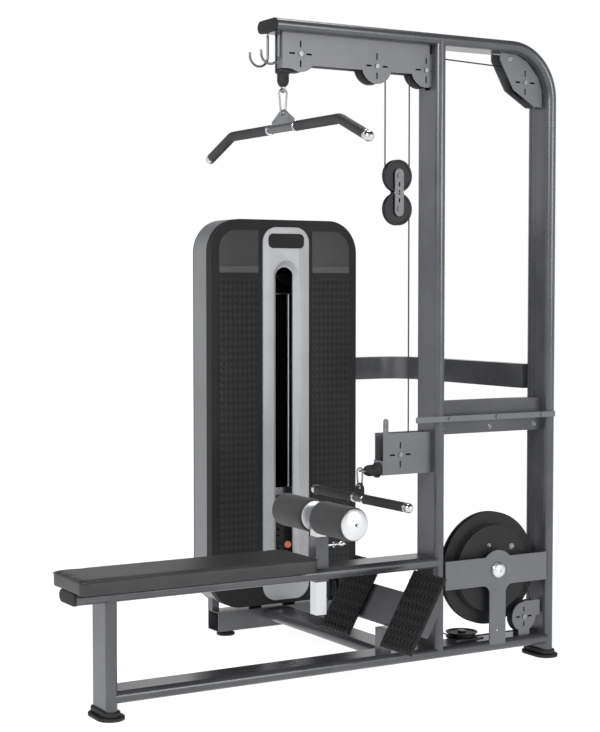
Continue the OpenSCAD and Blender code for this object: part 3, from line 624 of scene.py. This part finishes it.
# %% Row handle
row_x, row_z = middle("row_handle").x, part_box("row_handle")[0][2] + 0.0175
tube = pipe("row_handle_tube", frame_paint,
            [(row_x, frame_y - 0.11, row_z), (row_x, frame_y, row_z), (row_x, frame_y + 0.11, row_z)],
            bar_r, sides=10)
keep(tube, "row_handle", "frame_paint", "row_handle")
for side, word in ((-1, "near"), (1, "far")):
    sleeve = pipe("row_handle_sleeve_" + word, grip,
                  [(row_x, frame_y + side * t, row_z) for t in (0.035, 0.15, 0.284)], bar_r + 0.0030,
                  sides=10)
    keep(sleeve, "row_handle", "grip_rubber")
    collar = turned("row_handle_collar_" + word, chrome, (row_x, frame_y + side * 0.028, row_z), (0, side, 0),
                    COLLAR)
    keep(collar, "row_handle", "bright_steel")
    ball = turned("row_handle_ball_" + word, chrome, (row_x, frame_y + side * 0.281, row_z), (0, side, 0),
                  BALL, 40)
    keep(ball, "row_handle", "bright_steel")
keep(lug("row_handle_lug", Vector((row_x, frame_y, row_z)), 0.054, 0.050, 0.024, 0.9, 0.008, rubber),
     "row_handle", "grip_rubber")

# %% [markdown]
# ## Cable ends
# The cable ends in a steel eye. A rubber stop round it bumps against the plates, and a carabiner
# links the eye to the bar. The carabiner is a bent wire loop, narrower at the bar's end.

# %% Stops, eyes and carabiners
def wire_link(name, top, length, wide, narrow, radius, plane):
    """A closed tapered loop that hangs from top. plane is the loop's width direction."""
    points = []
    for i in range(13):
        a = math.pi * i / 12
        points.append((wide * math.cos(a), -wide + wide * math.sin(a)))
    for i in range(13):
        a = math.pi + math.pi * i / 12
        points.append((narrow * math.cos(a), -length + narrow + narrow * math.sin(a)))
    across = Vector(plane)
    return pipe(name, zinc, [tuple(Vector(top) + across * u + Vector((0, 0, v))) for u, v in points],
                radius, closed=True, sides=6)


def ring(name, at, radius, wire, u, v):
    points = [Vector(at) + Vector(u) * radius * math.cos(a) + Vector(v) * radius * math.sin(a)
              for a in [2 * math.pi * i / 28 for i in range(28)]]
    return pipe(name, zinc, [tuple(p) for p in points], wire, closed=True, sides=5)


STOP = [(0, 0.004), (0, 0.025), (0.002, 0.0268), (0.004, 0.027), (0.010, 0.0262), (0.0125, 0.024),
        (0.015, 0.0205),
        (0.017, 0.0198), (0.025, 0.0202), (0.0265, 0.0194), (0.028, 0.0202), (0.040, 0.0200), (0.046, 0.0178),
        (0.052, 0.0150), (0.056, 0.0105), (0.056, 0.004)]
lat_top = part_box("lat_clip")[1][2]
stop = turned("lat_stop", rubber, (lat_x, frame_y, lat_top), (0, 0, -1), STOP)
keep(stop, "lat_clip", "black_rubber", "lat_clip")
keep(ring("lat_eye", (lat_x, frame_y, lat_top - 0.064), 0.011, 0.003, (0, 1, 0), (0, 0, 1)), "lat_clip",
     "bright_steel")
keep(wire_link("lat_carabiner", (lat_x, frame_y, lat_top - 0.0647), 0.0833, 0.0145, 0.0085, 0.0033,
               (1, 0, 0)),
     "lat_clip", "bright_steel")

WHEEL_WRAP = 0.052
cable_z = middle("row_pulley").z - WHEEL_WRAP
stop_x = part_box("row_clip")[1][0]
stop = turned("row_stop", rubber, (stop_x, frame_y, cable_z), (-1, 0, 0), STOP)
keep(stop, "row_clip", "black_rubber", "row_clip")
keep(ring("row_eye", (stop_x - 0.064, frame_y, cable_z), 0.011, 0.003, (1, 0, 0), (0, 1, 0)), "row_clip",
     "bright_steel")
keep(wire_link("row_carabiner", (row_x, frame_y, cable_z + 0.011), 0.0645, 0.0115, 0.0085, 0.0033, (1, 0, 0)),
     "row_clip", "bright_steel")

# %% [markdown]
# ## Cables that move
# A gym cable is 5 mm steel rope in a black nylon sleeve, held tight all the way. Its fixed route
# stays from CAD. The stretches between a fixed pulley and a moving end are drawn as pipes from
# the pulley to the end at the rest pose.

# %% Moving cables
CABLE_RADIUS = 0.0025
BLOCK_WRAP = 0.0505


def stretch(name, points, body, node=None):
    piece = pipe(name, cable_coat, points, CABLE_RADIUS, sides=3)
    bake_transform(piece)
    if node:
        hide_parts(node)
    print(name, "blends from frame to", body)


def straight(a, b, steps=24):
    return [tuple(Vector(a).lerp(Vector(b), i / steps)) for i in range(steps + 1)]


def arc(x, z, radius, first, last, steps=20):
    return [(x + radius * math.cos(math.radians(first + (last - first) * i / steps)), frame_y,
             z + radius * math.sin(math.radians(first + (last - first) * i / steps)))
            for i in range(steps + 1)]


pulley = {name: middle(name) for name in ("front_pulley", "middle_pulley", "rear_pulley", "row_pulley",
                                          "block_top_wheel", "block_low_wheel", "tower_top_pulley")}
top = (lat_x, frame_y, pulley["front_pulley"].z)
stretch("lat_cable_run", straight(top, (lat_x, frame_y, lat_top - 0.049)), "lat_clip",
        "lat_cable")

stack_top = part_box("selector_stem")[1][2]
tower_x, stack_y = middle("selector_stem").x, middle("selector_stem").y
top = (tower_x, stack_y, pulley["tower_top_pulley"].z)
stretch("stack_cable_run", straight(top, (tower_x, stack_y, stack_top - 0.004)), "weight_stack",
        "stack_cable")

wheel, low_wheel = pulley["block_top_wheel"], pulley["block_low_wheel"]
left, right = wheel.x - BLOCK_WRAP, wheel.x + BLOCK_WRAP
upper = (straight((left, frame_y, pulley["middle_pulley"].z), (left, frame_y, wheel.z + 0.002)) +
         arc(wheel.x, wheel.z, BLOCK_WRAP, 180, 360) +
         straight((right, frame_y, wheel.z + 0.002), (right, frame_y, pulley["rear_pulley"].z)))
stretch("block_loop_cable", upper, "block",
        "block_cables")
row_side = pulley["row_pulley"].x + WHEEL_WRAP
rise = (straight((row_side, frame_y, pulley["row_pulley"].z), (right, frame_y, low_wheel.z - 0.002)) +
        arc(low_wheel.x, low_wheel.z, BLOCK_WRAP, 0, 180))
stretch("block_rise_cable", rise, "block")

bottom = (pulley["row_pulley"].x, frame_y, cable_z)
row_run = arc(pulley["row_pulley"].x, pulley["row_pulley"].z, WHEEL_WRAP, 0, -90) + straight(bottom,
        (stop_x - 0.049, frame_y, cable_z))[1:]
stretch("row_cable_run", row_run, "row_clip",
        "row_cable")

# %% [markdown]
# ## Feet and end plugs
# The frame's ends stand on rubber shoes with a wide sole and a rounded cup above it, and the
# machine's open tube ends carry soft plastic plugs with rounded lips.

# %% Feet and plugs
low, high = (Vector(c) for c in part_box("feet"))
shoes = []
for node in ("front_leg", "rear_upright"):
    at = middle(node)
    sole = oval_prism("sole", rubber, (at.x + 0.004, frame_y, 0), (0, 0, 1), (0, 1, 0), 0.157, 0.092, 0.012)
    soften(sole, 0.003)
    cup = oval_prism("cup", rubber, (at.x + 0.001, frame_y, 0.0121), (0, 0, 1), (0, 1, 0), 0.147, 0.060,
                     0.018)
    soften(cup, 0.004)
    shoes += [sole, cup]
for side in (-1, 1):
    at = (tower_x + side * 0.225, middle("tower_base").y, 0)
    shoes.append(turned("pad", rubber, at, (0, 0, 1),
                        [(0, 0.033), (0.002, 0.036), (0.009, 0.036), (0.012, 0.030), (0.0215, 0.026)]))
keep(joined("rubber_feet", shoes), "frame", "black_rubber", "feet")

plugs = []
for node in ("boom", "seat_beam"):
    end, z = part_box(node)[0][0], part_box(node)[1][2] - 0.020
    plug = oval_prism("plug", dark_abs, (end - 0.0065, frame_y, z), (1, 0, 0), (0, 1, 0), 0.131, 0.043, 0.017)
    soften(plug, 0.0045, 4)
    plugs.append(plug)
keep(joined("end_plugs", plugs), "frame", "dark_plastic", "end_caps")

# %% [markdown]
# ## Tower trim
# The centre trim is one silver moulding: arched at the top, with a long recess that slopes down to
# the slot for the pin. It starts as a rounded slab, the sloped recess and the slot are cut by
# Boolean, and a bevel runs along every edge.

# %% Trim round the pin slot
def slab(name, material, x, half, z0, z1, y0, y1, radius, steps=10):
    """A slab that faces Y, with its four upright corners rounded."""
    piece = block(name, material, (x - half, y0, z0), (x + half, y1, z1))
    round_edges(piece, 1, radius, steps)
    return piece


low, high = (Vector(c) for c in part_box("tower_trim"))
face_y = low.y
trim = slab("tower_trim_cover", silver_abs, tower_x, 0.104, low.z, high.z, low.y, high.y, 0.060)
recess = oval_prism("recess", silver_abs, (tower_x, face_y + 0.017, 0), (0, -1, 0), (0, 0, 1), 1.305,
                    0.136, 0.030)
recess.data.transform(Matrix.Translation((0, 0, 0.8355)))
for vertex in recess.data.vertices:
    if vertex.co.y > face_y + 0.010:
        vertex.co.x = tower_x + (vertex.co.x - tower_x) * 0.63
        vertex.co.z = 0.8355 + (vertex.co.z - 0.8355) * 0.950
cut(trim, recess)
slot = oval_prism("slot", silver_abs, (tower_x, face_y + 0.040, 0), (0, -1, 0), (0, 0, 1), 1.232, 0.080,
                  0.060)
slot.data.transform(Matrix.Translation((0, 0, 0.831)))
cut(trim, slot)
tidy_normals(trim)
soften(trim, 0.0025, 3, 30)
keep(trim, "frame", "silver_plastic", "tower_trim")

# %% [markdown]
# ## Badge, placards and relief panels
# The badge and the two instruction cards are left blank: a dark plate on the trim, and a framed
# grey card each side of it. Below the cards, two long panels stand 1.5 mm proud with the diamonds.

# %% Panels and cards on the tower
front_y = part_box("front_panel")[0][1]
badge = block("blank_badge", dark_abs, (tower_x - 0.080, face_y - 0.003, 1.521),
              (tower_x + 0.080, face_y + 0.0005, 1.578))
round_edges(badge, 1, 0.020, 8)
soften(badge, 0.0012)
keep(badge, "frame", "dark_plastic")
for side, word in ((-1, "left"), (1, "right")):
    x, half = tower_x + side * 0.2085, 0.0865
    panel = slab("relief_panel_" + word, relief, x, half, 0.200, 1.405, front_y - 0.0015, front_y + 0.001,
                 0.010)
    soften(panel, 0.0007, 2)
    keep(panel, "frame", "dark_plastic")
    card = block("card_" + word, placard_grey, (x - half, front_y - 0.001, 1.424),
                 (x + half, front_y + 0.001, 1.590))
    round_edges(card, 1, 0.075, 12, lambda p: p.z > 1.58 and (p.x - x) * side > 0)
    round_edges(card, 1, 0.008, 4, lambda p: p.z < 1.43 or (p.x - x) * side < 0)
    soften(card, 0.0004, 2)
    keep(card, "frame", "dark_plastic")
    band = slab("card_band_" + word, placard_band, x, half - 0.001, 1.426, 1.450, front_y - 0.0016,
                front_y - 0.0002, 0.004)
    soften(band, 0.0004, 2)
    keep(band, "frame", "dark_plastic")

# %% [markdown]
# ## Foot plates
# Each plate is steel with a moulded rubber tread on top. The tread has a rounded edge and a grid of
# small lozenges, which are modelled here because the plates face the camera.

# %% Foot plates
low, high = (Vector(c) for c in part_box("tread_plates"))
TILT = math.radians(30)
tread_mid = Vector((0.425 - 0.213, 0, 0.264))
WIDE, TALL, THICK = 0.188, 0.288, 0.014


def foot_plate(side, word):
    middle_y = frame_y + side * (WIDE / 2 + 0.100)
    alone()
    base = block("base", tread, (0.0, -WIDE / 2, -TALL / 2), (THICK - 0.004, WIDE / 2, TALL / 2))
    soften(base, 0.004, 4)
    alone()
    bpy.ops.mesh.primitive_cube_add(size=1)
    lozenge = settle(bpy.context.object, "lozenge", tread)
    rows = []
    for row in range(13):
        for column in range(8):
            shift = 0.011 if row % 2 else 0
            y, z = -WIDE / 2 + 0.014 + column * 0.0218 + shift, -TALL / 2 + 0.018 + row * 0.021
            if abs(y) < WIDE / 2 - 0.009:
                copy = lozenge.copy()
                copy.data = lozenge.data.copy()
                bpy.context.scene.collection.objects.link(copy)
                copy.data.transform(Matrix.Translation((-0.001, y, z)) @ Matrix.Rotation(math.radians(45),
                        4, "X") @ Matrix.Diagonal((0.003, 0.0115, 0.0115, 1)))
                rows.append(copy)
    bpy.data.objects.remove(lozenge)
    piece = joined("foot_plate_" + word, [base] + rows)
    piece.data.transform(Matrix.Translation((0, middle_y, 0)))
    piece.data.transform(Matrix.Translation((tread_mid.x, 0, tread_mid.z)) @ Matrix.Rotation(TILT, 4, "Y"))
    dress(piece, tread)
    smooth(piece)
    return piece


near = foot_plate(-1, "near")
far = foot_plate(1, "far")
print("plates", [round(v, 3) for v in low], [round(v, 3) for v in high])
keep(near, "frame", "dark_plastic", "tread_plates")
keep(far, "frame", "dark_plastic")

# %% [markdown]
# ## Knobs
# The selector pin has a turned orange knob with a rounded face. The pop pin of the roller post is a
# chrome plunger with a shaped head. Both are lathe work.

# %% Selector knob and pop pin
low, high = (Vector(c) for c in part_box("selector_pin"))
knob = turned("selector_knob", knob_plastic, (middle("selector_pin").x, low.y, middle("selector_pin").z),
              (0, 1, 0),
              [(0, 0.0008), (0.0003, 0.006), (0.002, 0.0108), (0.005, 0.0135), (0.009, 0.0140),
               (0.013, 0.0128),
               (0.018, 0.0092), (0.022, 0.0078), (0.022, 0.004)], 40)
keep(knob, "pin", "knob_plastic", "selector_pin")
shank = turned("selector_shank", chrome,
               (middle("selector_pin").x, low.y + 0.018, middle("selector_pin").z), (0, 1, 0),
               [(0, 0.002), (0, 0.005), (high.y - low.y - 0.022, 0.005),
                (high.y - low.y - 0.018, 0.0025)], 24)
keep(shank, "pin", "bright_steel")

low, high = (Vector(c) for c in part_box("pop_pin"))
length = high.x - low.x
plunger = turned("pop_pin_plunger", chrome, (low.x, frame_y, middle("pop_pin").z), (1, 0, 0),
                 [(0, 0.004), (0.001, 0.006), (0.040, 0.006), (0.040, 0.0095), (0.046, 0.0100),
                  (0.050, 0.0080),
                  (0.062, 0.0070), (0.068, 0.0098), (0.073, 0.0108), (0.080, 0.0108),
                  (length - 0.002, 0.0092), (length, 0.004)], 40)
keep(plunger, "pop_pin", "bright_steel", "pop_pin")

# %% [markdown]
# ## Caps and bolts
# A drum axle cap with a socket, two screws on the drum's face, and zinc bolts on the plates. A bolt
# is modelled once as a hexagon head on a washer, and each copy has its own mesh.

# %% Axle cap, screws and bolts
axle = middle("drum")
cap = turned("drum_axle_cap", satin_cap, (axle.x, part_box("drum_bracket")[0][1] - 0.0002, axle.z), (0, -1, 0),
             [(0, 0.026), (0.0002, 0.0292), (0.005, 0.0290), (0.010, 0.0262), (0.0142, 0.0195),
              (0.0162, 0.0110),
              (0.0165, 0.0056), (0.0138, 0.0050), (0.0138, 0.0006)], 48)
keep(cap, "frame", "bright_steel")


def bolt(at, axis, size=0.0075):
    head = turned("bolt", zinc, at, axis,
                  [(0, size * 1.35), (0.0012, size * 1.35), (0.0014, size * 1.28)], 32)
    hexagon = turned("hex", zinc, at, axis, [(0.0010, size), (0.0048, size), (0.0056, size * 0.86)], 6)
    return joined("bolt", [head, hexagon])


disc_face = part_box("drum")[0][1]
drum_screws = joined("drum_screws",
                     [bolt((axle.x + 0.085, disc_face + 0.0002, axle.z + 0.075), (0, -1, 0), 0.0085),
                                     bolt((axle.x - 0.018, disc_face + 0.0002, axle.z + 0.086),
                                          (0, -1, 0), 0.0055)])
keep(drum_screws, "drum", "bright_steel")
plate_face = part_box("corner_plates")[0][1]
bolts = [bolt((0.425 + 0.325, plate_face + 0.0002, 2.191), (0, -1, 0), 0.0075)]
for x, z in ((0.425 + 0.033, 0.866), (0.425 + 0.242, 0.866), (0.425 + 0.446, 0.866)):
    bolts.append(bolt((x, frame_y - 0.0248, z), (0, -1, 0), 0.0065))
keep(joined("frame_bolts", bolts), "frame", "bright_steel")

# %% [markdown]
# ## Studio
# A pale floor that glows enough to read as white, a pale world and three large soft lamps. The camera
# stands where the photograph was taken: a long lens at 1.36 m, turned 30.7 degrees and tipped down by
# 2.7.

# %% Floor, light and camera
floor_paint = moulded("pale_studio_floor", "#A4A4A5", "#A8A8A9", 0.6, 40, 0.0001,
                      Emission_Color=linear("#FFFFFF"), Emission_Strength=0.9)
alone()
bpy.ops.mesh.primitive_plane_add(size=30, location=(0, 0, -0.0005))
floor = settle(bpy.context.object, "studio_floor", floor_paint)

world = bpy.data.worlds.new("studio_world")
bpy.context.scene.world = world
world.use_nodes = True
sky = world.node_tree
up = add(sky, "ShaderNodeSeparateXYZ", links={"Vector": add(sky, "ShaderNodeTexCoord").outputs["Generated"]})
tint = two_tones(sky, up.outputs["Z"], "#FFFFFF", "#4A4B4D", 0.22, 0.5)
sky.links.new(tint, sky.nodes["Background"].inputs["Color"])
sky.nodes["Background"].inputs["Strength"].default_value = 1.0


def lamp(name, at, target, size, power):
    alone()
    bpy.ops.object.light_add(type="AREA", location=at)
    made = bpy.context.object
    made.name = name
    made.data.shape, made.data.size, made.data.energy = "SQUARE", size, power
    made.rotation_euler = (Vector(target) - Vector(at)).to_track_quat("-Z", "Y").to_euler()


lamp("key_lamp", (-3.6, -2.2, 3.4), (0.1, 0, 1.0), 1.8, 140)
lamp("fill_lamp", (1.8, -4.6, 2.0), (0.3, 0, 1.0), 1.4, 60)
lamp("top_lamp", (0.6, 0.2, 4.6), (0.2, 0, 1.0), 1.6, 60)

FOCAL_PIXELS, IMAGE_HEIGHT, SENSOR = 1625, 732, 36
camera = bpy.data.cameras.new("camera")
camera.lens, camera.sensor_width = FOCAL_PIXELS * SENSOR / IMAGE_HEIGHT, SENSOR
viewer = bpy.data.objects.new("camera", camera)
viewer.location = (-2.9113, -4.983, 1.361)
viewer.rotation_euler = (math.radians(87.29), 0, -math.radians(30.68))
bpy.context.scene.collection.objects.link(viewer)
bpy.context.scene.camera = viewer
bpy.context.scene.view_settings.view_transform = "Standard"
print("camera at", [round(v, 2) for v in viewer.location])
